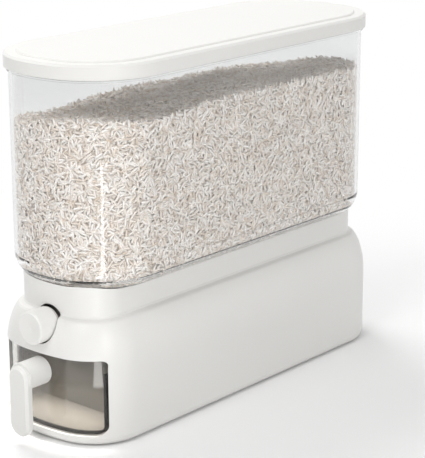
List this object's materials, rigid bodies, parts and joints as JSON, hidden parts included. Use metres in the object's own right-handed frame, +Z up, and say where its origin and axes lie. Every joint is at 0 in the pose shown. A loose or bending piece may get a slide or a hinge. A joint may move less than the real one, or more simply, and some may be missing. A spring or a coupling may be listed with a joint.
{
  "type": "rice dispenser with drawer",
  "caption": "Countertop rice dispenser: clear hopper with a white lid on a white base, a spring-return push knob that opens a gate and a pull-out drawer with a smoked front.",
  "frame": {"origin": "on the surface it stands on, under the middle of the whole object's box, grip included", "axes": "+Z up, +Y towards the back along the length, -Y towards the knob and drawer, +X across the width"},
  "size_m": [0.125, 0.3671, 0.2754],
  "materials": {
    "white_shell": "white moulded ABS, satin to gloss",
    "white_inner": "white moulded plastic, fine matt",
    "hopper_clear": "clear moulded plastic, polished",
    "smoked_clear": "smoked clear moulded plastic, polished",
    "tray_clear": "pale clear moulded plastic, polished",
    "seal_black": "black soft strip, matt",
    "seal_silicone": "translucent white silicone, matt",
    "foot_rubber": "grey rubber, matt",
    "screw_steel": "zinc-plated steel",
    "spring_steel": "bright spring wire"
  },
  "bodies": {
    "base": {"base_shell": "white_shell", "neck_ring": "white_shell", "base_plate": "white_inner", "foot_pads": "foot_rubber", "base_screws": "screw_steel", "drawer_bay": "white_inner", "hopper_funnel": "white_inner", "funnel_seal": "seal_silicone", "gate_guide": "white_inner", "guide_screws": "screw_steel", "spring_pin": "screw_steel", "return_spring": "spring_steel"},
    "gate": {"gate_slide": "white_inner", "push_knob": "white_shell", "knob_screw": "screw_steel"},
    "drawer": {"drawer_tray": "tray_clear", "drawer_front": "smoked_clear", "drawer_seal": "seal_black", "drawer_handle": "white_shell", "handle_screw": "screw_steel"},
    "hopper": {"hopper": "hopper_clear"},
    "lid": {"lid": "white_shell", "lid_gasket": "seal_silicone"}
  },
  "joints": [
    {"name": "knob_press", "type": "slide", "parent": "base", "child": "gate", "axis": [0, 1, 0], "range_m": [0, 0.013], "stiffness_N_per_m": 250, "springref_m": -0.008, "deforming": ["return_spring"]},
    {"name": "drawer_slide", "type": "slide", "parent": "base", "child": "drawer", "axis": [0, -1, 0], "range_m": [0, 0.06]},
    {"name": "hopper_lift", "type": "slide", "parent": "base", "child": "hopper", "axis": [0, 0, 1], "range_m": [0, 0.12]},
    {"name": "lid_lift", "type": "slide", "parent": "hopper", "child": "lid", "axis": [0, 0, 1], "range_m": [0, 0.08]}
  ]
}
